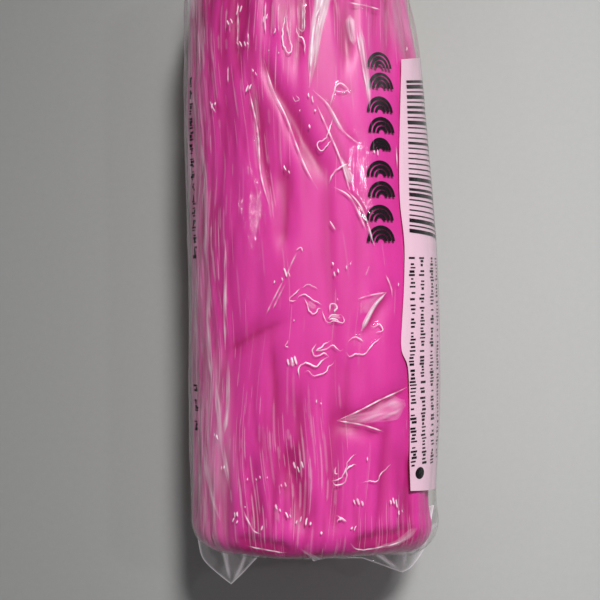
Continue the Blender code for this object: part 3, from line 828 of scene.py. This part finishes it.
def cake_material():
    """Dyed surimi: moist, a little translucent, its dye slightly uneven, with shade painted into its
    folds as a darker dye.
    """
    material, tree, shader = opaque_material("dyed fish cake", Roughness=0.42, **DYE_DEPTH)
    dye = add_tones(tree, add_noise(tree, DYE_GRAIN, Detail=4), DYE_TONES)
    # Painted shade: the dye darkened by the mesh's share of shade in the folds
    painted_shade = add_node(tree, "ShaderNodeAttribute", attribute_name="painted_shade")
    shaded_dye = add_node(tree, "ShaderNodeMixRGB", blend_type="MULTIPLY", Color2=FOLD_SHADE_COLOUR)
    join(painted_shade, "Fac", shaded_dye, "Fac")
    join(dye, "Color", shaded_dye, "Color1")
    join(shaded_dye, "Color", shader, "Base Color")
    return material


def film_material():
    """Clear film: gloss that grows at a glancing angle, over a pale veil where it is milky and where a
    reflection is painted on it.
    """
    material, tree, output = new_material("clear film")
    veil = add_veil(tree, "haze_and_sheen", VEIL_COLOUR, 0.6)
    bump = add_node(tree, "ShaderNodeBump", Strength=0.35, Distance=0.0002)
    gloss = add_node(tree, "ShaderNodeBsdfGlossy", Roughness=0.09)
    glancing = add_node(tree, "ShaderNodeLayerWeight", Blend=0.5)
    steep = add_node(tree, "ShaderNodeMath", operation="POWER")
    steep.inputs[1].default_value = GLOSS_POWER
    gain = add_node(tree, "ShaderNodeMath", operation="MULTIPLY_ADD", use_clamp=True)
    gain.inputs[1].default_value = GLOSS_GAIN
    gain.inputs[2].default_value = GLOSS_LEAST
    whole = add_node(tree, "ShaderNodeMixShader")
    join(add_noise(tree, FILM_GRAIN, Detail=3), "Fac", bump, "Height")
    join(bump, "Normal", gloss, "Normal")
    join(bump, "Normal", glancing, "Normal")
    join(glancing, "Facing", steep, 0)
    join(steep, "Value", gain, 0)
    join(gain, "Value", whole, "Fac")
    join(veil, "Shader", whole, 1)
    join(gloss, "BSDF", whole, 2)
    join(whole, "Shader", output, "Surface")
    return material


def painted_highlight_material():
    """A painted highlight along the crest of a crease in the film, as bright as it is sharp, with a
    faint painted glow.
    """
    material, tree, output = new_material("painted film highlight")
    # The sharp value says how strongly each painted highlight shows
    join(add_veil(tree, "sharp", PAINTED_HIGHLIGHT_COLOUR, 0.2), "Shader", output, "Surface")
    return material


def wood_material():
    """Pale pine, its grain running the length of the board."""
    material, tree, shader = opaque_material("pine board", Roughness=0.7)
    grain = add_noise(tree, PINE_GRAIN, Detail=5, Distortion=0.4)
    join(add_tones(tree, grain, PINE_TONES), "Color", shader, "Base Color")
    return material


def floor_material():
    """Pale matt paint, very slightly mottled, with a fall-off of the light painted on so that it is
    paler to the right.
    """
    material, tree, shader = opaque_material("pale floor", Roughness=0.7)
    tint = add_tones(tree, add_noise(tree, FLOOR_GRAIN, Detail=3), FLOOR_TINTS)
    # Painted fall-off of the light: the floor's tone grows paler to the right
    place = add_node(tree, "ShaderNodeTexCoord")
    split = add_node(tree, "ShaderNodeSeparateXYZ")
    painted_light = add_node(tree, "ShaderNodeMapRange", interpolation_type="SMOOTHSTEP")
    painted_light.inputs["From Min"].default_value, painted_light.inputs["From Max"].default_value = FLOOR_PAINTED_LIGHT_CHANGE
    painted_light.inputs["To Min"].default_value, painted_light.inputs["To Max"].default_value = FLOOR_PAINTED_LIGHT
    painted_light_colour = add_node(tree, "ShaderNodeVectorMath", operation="SCALE")
    join(place, "Object", split, "Vector")
    join(split, "X", painted_light, "Value")
    join(tint, "Color", painted_light_colour, 0)
    join(painted_light, "Result", painted_light_colour, "Scale")
    join(painted_light_colour, "Vector", shader, "Base Color")
    return material


def laid_out(half, steps, lane_count, crest, crest_width, held_by_board):
    """A wrapped form: its walks, its lanes, its points, and how full its section is at each lane."""
    walks = spaced(walked_along(half)[-1], *steps)
    lanes = np.linspace(-TOTAL_RUN / 2, TOTAL_RUN / 2, lane_count)
    points = wrapped_form(half, walks, lanes, crest, crest_width, held_by_board)
    return walks, lanes, points, place_of_lane(lanes, crest)[2][:, None]


def fold_shade(creases, fine, walk, lane):
    """Painted shade at each point of the cake, from 0 to 1: darker dye in its folds, along its creases
    and beside the film's ridges.
    """
    shade = FOLD_SHARE * np.clip((-creases - FOLD_START) / FOLD_OVER, 0, 1) + WRINKLE_SHARE * fine
    for depth, _, line_walk, line_lane in SOLID_CREASES[: len(NAMED_CREASES)]:
        shade += crease_depth((FOLD_DARK * depth, FOLD_LINE, line_walk, line_lane), walk, lane)
    ridges = [(RIDGE_DARK * height, FOLD_LINE, line) for height, _, line in FILM_RIDGES]
    shade += soft_lines(ridges, walk, lane, RIDGE_SIDE)
    return np.clip(shade + spread(PAINTED_FOLD_SHADES, 0, walk, lane), 0, 1)


def make_cake():
    foot = quarter(HALF_WIDTH, -FOOT_DEPTH, FOOT_POWER, 400)
    half = np.vstack([dome_half(), foot[1:]])
    walks, lanes, points, share = laid_out(half, CAKE_STEPS, CAKE_LANES, END_BULGE, 0.0, False)
    walk, lane = np.meshgrid(walks, lanes)
    creases = cake_relief(walk, lane)
    wrinkled = spread(WRINKLED, WRINKLED_ELSEWHERE, walk, lane)
    fine = wrinkle_lines(CAKE_WRINKLES, walk + CAKE_WRINKLE_SHIFT, lane) * wrinkled
    rise = creases - CAKE_WRINKLE_DEPTH * fine
    rise += dents(PACK_SWELLS, walk, lane) - dents(CAKE_DENTS, walk, lane)
    # Points raised by the relief, and the painted shade of the folds as a value for each point
    grid = raised(points, rise * share), fold_shade(creases, fine, walk, lane)
    cake = grid_object("cake", [grid], True, cake_material(), "painted_shade")
    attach(cake, "root")
    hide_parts("fish_cake")


def make_film(material):
    skirt = smooth_line(FILM_SKIRT[:-1])
    half = np.vstack([dome_half(FILM_GAP), skirt[1:], FILM_SKIRT[-1:]])
    walks, lanes, points, share = laid_out(
        half, FILM_STEPS, FILM_LANES, FILM_CREST, FILM_CREST_WIDTH, True
    )
    walk, lane = np.meshgrid(walks, lanes)
    above = smooth_step((WRINKLE_REACH[0] - np.abs(walk)) / WRINKLE_REACH[1])
    wrinkled = spread(WRINKLED, WRINKLED_ELSEWHERE, walk, lane) * above
    rise = FILM_FOLLOWS * cake_relief(walk, lane)
    for height, wrinkles in FILM_WRINKLES:
        rise += height * wrinkle_lines(wrinkles, walk, lane) * wrinkled
    height, seed, across, along = FILM_RIPPLE
    rise += height * uneven(seed, walk / across, lane / along) * above
    ridges = [(RIDGE_STANDS * height, width, line) for height, width, line in FILM_RIDGES]
    rims = [(CLING_HEIGHT, CLING_HALF_WIDTH, line) for line in CLING_RIMS]
    rise += soft_lines(ridges + rims, walk, lane)
    pinches = [(PINCH_HEIGHT * size, *at, PINCH_RADIUS, PINCH_RADIUS) for *at, size in PINCHES]
    rise += dents([*pinches, *FILM_BULGES, *PACK_SWELLS], walk, lane)
    points = raised(points, rise * smooth_step(share * 4))
    points[:, :, 2] = np.maximum(points[:, :, 2], UNDERSIDE)
    # Partly milky film where it stands off the cake, partly a painted reflection, with streaks
    streaks = wrinkle_lines(HAZE_WRINKLES, walk, lane)
    haze_and_sheen = spread(HAZE_AND_SHEEN_PATCHES, 0, walk, lane) * (HAZE_STREAKS[0] + HAZE_STREAKS[1] * streaks)
    film = grid_object("film", [(points, haze_and_sheen)], True, material, "haze_and_sheen")
    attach(film, "root")
    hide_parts("film_front", "film_back")
    return Skin(walks, lanes, points, grid_normals(points))


def ribbon(skin, line, half_widths, lift, crown, opacity, columns=5):
    """A strip along a line on the skin: its points, how strongly it shows there, and how far along."""
    length = walked_along(line)
    steps = max(2, math.ceil(length[-1] / LINE_STEP))
    at = np.linspace(0, length[-1], steps + 1)
    middle = points_at(at, line, length)
    along = np.gradient(middle, axis=0)
    along /= np.maximum(np.linalg.norm(along, axis=1, keepdims=True), 1e-9)
    across = np.linspace(-1, 1, columns)[None, :]
    share = at[:, None] / length[-1]
    half_width = half_widths[0] + (half_widths[1] - half_widths[0]) * share
    full = smooth_step(np.minimum(share, 1 - share) * LINE_TAPER)
    narrowed = LINE_TIP + (1 - LINE_TIP) * full if crown else 1
    half_width = half_width * narrowed
    walk = middle[:, :1] - along[:, 1:] * across * half_width
    lane = middle[:, 1:] + along[:, :1] * across * half_width
    height = (lift + crown * (1 - across**2) * narrowed)[..., None]
    soft = narrowed * (1 - LINE_FADE * across**2) if crown else np.ones_like(walk)
    show = opacity * soft
    return on_skin(skin, walk, lane, height), show, at[:, None]


def gleaming(made, place, least):
    """A painted highlight ribbon whose brightness comes and goes along it, never below a share of the
    whole.
    """
    points, show, at = made
    field = uneven(GLEAM_SEED, at / GLEAM_LENGTH + place, np.full_like(at, place))
    return points, show * (least + (1 - least) * smooth_step(0.5 + 1.1 * field))


# Painted highlight lines along the film's ridges
def ridge_highlights(skin):
    made = []
    for height, _, points in FILM_RIDGES:
        opacity = min(RIDGE_OPACITY[2], RIDGE_OPACITY[0] + RIDGE_OPACITY[1] * height)
        line = ribbon(skin, smooth_line(points), RIDGE_SHOWN, LINE_LIFT, LINE_CROWN, opacity)
        made.append(gleaming(line, points[0][0], RIDGE_GLEAM))
    return made


# Painted highlight lines along the rims of the cling patches, a little ragged
def cling_highlights(skin, draw):
    made = []
    for points in CLING_RIMS:
        smooth = smooth_line(points)
        cells = smooth.T / RAGGED_CELL
        smooth += CLING_RAGGED * np.stack([uneven(seed, *cells) for seed in RAGGED_SEEDS], axis=1)
        half_widths = draw.uniform(*CLING_SHOWN, 2)
        line = ribbon(skin, smooth, half_widths, LINE_LIFT, LINE_CROWN, CLING_OPACITY)
        made.append(gleaming(line, points[0][0], CLING_GLEAM))
    return made


def pinch_highlights(skin, draw):
    """A few short painted highlight strokes side by side at each pinch."""
    made = []
    for at_walk, at_lane, size in PINCHES:
        turn, count = draw.uniform(-0.5, 0.5), max(1, round(1.6 * size))
        for index in range(count):
            beside = PINCH_SPACE * (index - (count - 1) / 2)
            place = np.array((at_walk + beside, at_lane + size * draw.uniform(-0.5, 0.5)))
            half = size * draw.uniform(0.25, 0.7)
            step = half * np.array((math.sin(turn), math.cos(turn)))
            bend = draw.uniform(-0.15, 0.15, 2)
            line = smooth_line([place - step, place + bend, place + step], 6)
            half_widths = draw.uniform(*PINCH_SHOWN, 2)
            opacity = draw.uniform(0.5, 0.95)
            made.append(ribbon(skin, line, half_widths, LINE_LIFT, 0.08, opacity)[:2])
    return made


def sheen(skin, opacity, start, stop, points):
    """A painted sheen: a wide soft ribbon of fine streaks, strongest where it is widest."""
    line = smooth_line(points)
    points, show, at = ribbon(skin, line, (start, stop), 0.02, 0.05, opacity, SHEEN_COLUMNS)
    width = start + (stop - start) * at / at[-1]
    across = np.linspace(-1, 1, SHEEN_COLUMNS)[None, :] * width / SHEEN_STREAK[0]
    streak = uneven(SHEEN_SEED, across + line[0, 0], at / SHEEN_STREAK[1] + line[0, 1])
    strength = 0.35 + 0.65 * width / max(start, stop)
    return points, np.clip(show * strength * (0.75 + 0.9 * streak), 0, 1)


def streak_highlights(skin):
    """Painted highlight streaks that lie most thickly where the film is most wrinkled."""
    draw = np.random.default_rng(STREAK_SEED)
    made = []
    while len(made) < STREAK_COUNT:
        walk, lane = (draw.uniform(-reach, reach) for reach in STREAK_PLACES)
        chance = spread(WRINKLED, WRINKLED_ELSEWHERE, np.array([walk]), np.array([lane]))[0]
        length = draw.uniform(*STREAK_LENGTH)
        size = draw.uniform() ** 2
        half_width = STREAK_HALF_WIDTH[0] + (STREAK_HALF_WIDTH[1] - STREAK_HALF_WIDTH[0]) * size
        opacity = draw.uniform(*STREAK_OPACITY) * (1 - 0.6 * size) * (0.4 + 0.6 * chance)
        if draw.uniform() > chance:
            continue
        lanes = np.linspace(lane - length / 2, lane + length / 2, max(3, round(length / 0.6)))
        walks = walk - wander(CAKE_WRINKLES[0] + 1, np.full_like(lanes, walk), lanes)
        line = np.stack([walks, lanes], axis=1)
        made.append(ribbon(skin, line, (half_width, half_width), LINE_LIFT, 0.04, opacity, 3)[:2])
    return made


def make_painted_highlights(skin):
    """Painted highlights on the film: pale strips along its ridges, cling rims and pinches, its painted
    sheens and its fine streaks.
    """
    draw = np.random.default_rng(PINCH_SEED)
    grids = ridge_highlights(skin) + cling_highlights(skin, draw) + pinch_highlights(skin, draw)
    grids += [sheen(skin, *values) for values in SHEENS] + streak_highlights(skin)
    # The strips are painted highlights: pale, faintly glowing, as bright as their values say
    creases = grid_object("film_painted_highlights", grids, False, painted_highlight_material(), "sharp")
    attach(creases, "root")


def band_slant(lane):
    """How far the print climbs the pack for each step round it, at a lane."""
    lanes, slants = np.array(BAND_SLANTS[::-1]).T
    return np.interp(lane, lanes, slants)


def band_grid(skin):
    edge = smooth_line(BAND_EDGE)[::-1]
    lanes = np.linspace(BAND_EDGE[-1][1], BAND_EDGE[0][1], 180)
    left = np.interp(lanes, edge[:, 1], edge[:, 0])[:, None]
    walk = left + (BAND_WRAP - left) * np.linspace(0, 1, 70)[None, :]
    lane = lanes[:, None] + band_slant(lanes)[:, None] * (walk - left)
    return on_skin(skin, walk, lane, BAND_LIFT), 1


def bars(draw):
    """Uneven bars that encode nothing, each its line and half width."""
    made = []
    pitch = (BAR_LANES[1] - BAR_LANES[0]) / BAR_COUNT
    for index in range(BAR_COUNT):
        lane = BAR_LANES[0] + pitch * (index + 0.5)
        start = BAR_STARTS[0] + (BAR_STARTS[1] - BAR_STARTS[0]) * index / BAR_COUNT
        line = (start, lane), (BAR_END, lane + band_slant(lane) * (BAR_END - start))
        made.append((line, draw.choice(BAR_HALF_WIDTHS)))
    return made


def dash(walk, lane, half, half_width):
    return ((walk - half, lane), (walk + half, lane)), half_width


def dashes(draw):
    """Columns of small dashes on the band."""
    made = []
    first, last = DASH_LANES
    for column in DASH_COLUMNS:
        lane = first
        while lane > last:
            walk = np.interp(-lane, (-first, -(first + last) / 2, -last), column)
            half, shift = draw.uniform(0.35, 1.0), draw.uniform(-0.25, 0.25)
            made.append(dash(walk + shift, lane, half, draw.uniform(*DASH_HALF_WIDTH)))
            lane -= draw.choice(DASH_STEPS)
    return made


def ticks(draw):
    """Groups of small ticks at the pack's left edge."""
    made = []
    for lane, last, space in TICK_RUNS:
        while lane > last:
            foot = lane - draw.uniform(*TICK_GROUP)
            while lane > foot:
                half, shift = draw.uniform(0.3, 0.9), draw.uniform(-0.4, 0.4)
                made.append(dash(TICK_WALK + shift, lane, half, draw.uniform(*TICK_HALF_WIDTH)))
                lane -= draw.uniform(*TICK_STEP)
            lane -= space * draw.uniform(0.8, 1.6)
    return made


def fans():
    """A column of wave-fan marks, each of one row or two."""
    made = []
    turns = np.linspace(0, math.pi, 25)
    for at_walk, at_lane, radius, rows in FANS:
        for foot in FAN_FEET[:rows]:
            for arc in radius * np.array(FAN_ARCS):
                across, up = at_walk + arc * np.cos(turns), at_lane + foot + arc * np.sin(turns)
                made.append((np.stack([across, up], axis=1), FAN_STROKE))
    return made


def dot_grid(skin):
    turns = np.linspace(0, 2 * math.pi, 25)
    rings = np.linspace(0, 1, 5)[:, None]
    walk, lane = DOT[0] + DOT[2] * rings * np.cos(turns), DOT[1] + DOT[3] * rings * np.sin(turns)
    return on_skin(skin, walk, lane, INK_LIFT), 1


def make_print(skin):
    """A pale band with bars and columns of small dashes, a column of wave-fan marks, and ticks."""

    def inked(strokes, lift):
        return [
            ribbon(skin, np.array(line, float), (half_width, half_width), lift, 0, 1)[:2]
            for line, half_width in strokes
        ]

    small = np.random.default_rng(DASH_SEED)
    grids = inked(bars(np.random.default_rng(BAR_SEED)) + dashes(small), INK_LIFT)
    grids += inked(ticks(small), TICK_LIFT) + inked(fans(), INK_LIFT)
    pale = opaque_material("pale print", Base_Color=PRINT_PALE, Roughness=0.4)[0]
    matt = {"Roughness": 0.5, "Specular_IOR_Level": 0.1}
    ink = opaque_material("black print", Base_Color=PRINT_BLACK, **matt)[0]
    band = grid_object("print_band", [band_grid(skin)], False, pale)
    black = grid_object("print_black", grids, False, ink)
    dot = grid_object("print_dot", [dot_grid(skin)], False, ink)
    for piece in (band, black, dot):
        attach(piece, "root")


def ear_outline(outline, count=200):
    """The ear's edge as points that are evenly spread along it."""
    runs, run = [], [outline[0][:2]]
    for x, y, sharp in outline[1:] + outline[:1]:
        run.append((x, y))
        if sharp:
            runs.append(smooth_line(run)[:-1])
            run = [(x, y)]
    edge = np.concatenate(runs)
    edge = np.concatenate([edge, edge[:1]])
    length = walked_along(edge)
    return points_at(np.linspace(0, length[-1], count, endpoint=False), edge, length)


def ear_folds(outline, x, y):
    """Sharp folds that run from the ear's tip to where it leaves the pack, from 0 to 1."""
    tip = np.array(max(outline, key=lambda point: abs(point[1]))[:2])
    first, last = np.array(outline[1][:2]), np.array(outline[-1][:2])
    folds = np.zeros_like(x)
    for share, depth, bend in EAR_FOLDS:
        foot = first + (last - first) * share
        middle = (tip + foot) / 2 + bend * (last - first)
        line = smooth_line([tip, middle, foot])
        folds = np.maximum(folds, crease_depth((depth, EAR_FOLD_WIDTH, line[:, 0], line[:, 1]), x, y))
    return folds


def clouds(values, x, y):
    least, more, contrast, seed, across, along = values
    return least + more * smooth_step(0.5 + contrast * uneven(seed, x / across, y / along))


def make_ear(name, ear, material):
    """Two sheets of film sealed at their edge, crumpled a little."""
    level, droop, outline = ear
    edge = ear_outline(outline)
    centre = edge.mean(axis=0)
    end = math.copysign(1, outline[0][1])
    angle = math.radians(droop)
    scale = EAR_RINGS[:, None]
    x, y = (middle + (around - middle) * scale for middle, around in zip(centre, edge.T))
    folds = ear_folds(outline, x, y)
    height, seed, across, along = EAR_CRUMPLE
    crumpled = height * uneven(seed, x / across, y / along) + EAR_FOLD_HEIGHT * folds
    out = np.abs(y) - (HALF_LENGTH - END_ROUND)
    drawn = end * (HALF_LENGTH - END_ROUND + out * math.cos(angle))
    # The sheet's milky haze, and painted reflection on its rim and along its folds
    rim = smooth_step((scale - EAR_RIM[0]) / EAR_RIM[1]) * clouds(EAR_RIM_CLOUDS, x, y)
    sheet = EAR_HAZE_AND_SHEEN[0] + clouds(EAR_CLOUDS, x, y)
    haze_and_sheen = np.clip(sheet + EAR_HAZE_AND_SHEEN[1] * rim + EAR_HAZE_AND_SHEEN[2] * folds, 0, 1)
    grids = []
    for side in (1, -1):
        puff = EAR_PUFF * side * (1 - scale**4)
        lifted = level + puff + crumpled - out * math.sin(angle)
        grids.append((np.stack([x, drawn, lifted], axis=2), haze_and_sheen))
    made = grid_object(name, grids, True, material, "haze_and_sheen")
    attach(made, "root")


def make_floor():
    mesh = bpy.data.meshes.new("floor")
    corners = [(x * FLOOR_HALF, y * FLOOR_HALF, -FLOOR_DROP) for x, y in SQUARE]
    mesh.from_pydata(corners, [], [(0, 1, 2, 3)])
    mesh.materials.append(floor_material())
    floor = bpy.data.objects.new("floor", mesh)
    bpy.context.scene.collection.objects.link(floor)


def add_lamp(name, kind, place, aim, watts):
    light = bpy.data.lights.new(name, kind)
    light.energy = watts
    lamp = bpy.data.objects.new(name, light)
    bpy.context.scene.collection.objects.link(lamp)
    lamp.location = place
    lamp.rotation_euler = (Vector(aim) - lamp.location).to_track_quat("-Z", "Y").to_euler()
    return light


def light_scene():
    """A soft key high up behind the pack, an even sky, and two small lamps for glints."""
    world = bpy.data.worlds.new("studio")
    world.use_nodes = True
    background = world.node_tree.nodes["Background"]
    background.inputs["Color"].default_value = SKY_COLOUR
    background.inputs["Strength"].default_value = SKY_STRENGTH
    bpy.context.scene.world = world
    key = add_lamp("key", "SPOT", KEY_PLACE, KEY_AIM, KEY_POWER)
    key.spot_size = math.radians(KEY_CONE)
    key.spot_blend = 1.0
    key.shadow_soft_size = KEY_SIZE
    for name, (place, size, watts) in CEILING_LAMPS.items():
        lamp = add_lamp(name, "AREA", place, CEILING_AIM, watts)
        lamp.size = size


def place_camera():
    """Straight above, as the photograph was taken."""
    camera = bpy.data.cameras.new("camera")
    camera.sensor_width = CAMERA_SENSOR
    camera.lens = CAMERA_LENS
    obj = bpy.data.objects.new("camera", camera)
    obj.location = Vector(CAMERA_PLACE) * MM
    obj.rotation_euler = (0, 0, math.radians(CAMERA_TURN))
    bpy.context.scene.collection.objects.link(obj)
    bpy.context.scene.camera = obj


def main():
    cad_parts["board"].material_slots[0].material = wood_material()
    film = film_material()
    make_cake()
    skin = make_film(film)
    make_painted_highlights(skin)
    make_print(skin)
    for name, ear in EARS.items():
        make_ear(name, ear, film)
    make_floor()
    light_scene()
    place_camera()
    bpy.context.scene.view_settings.view_transform = "Standard"


main()
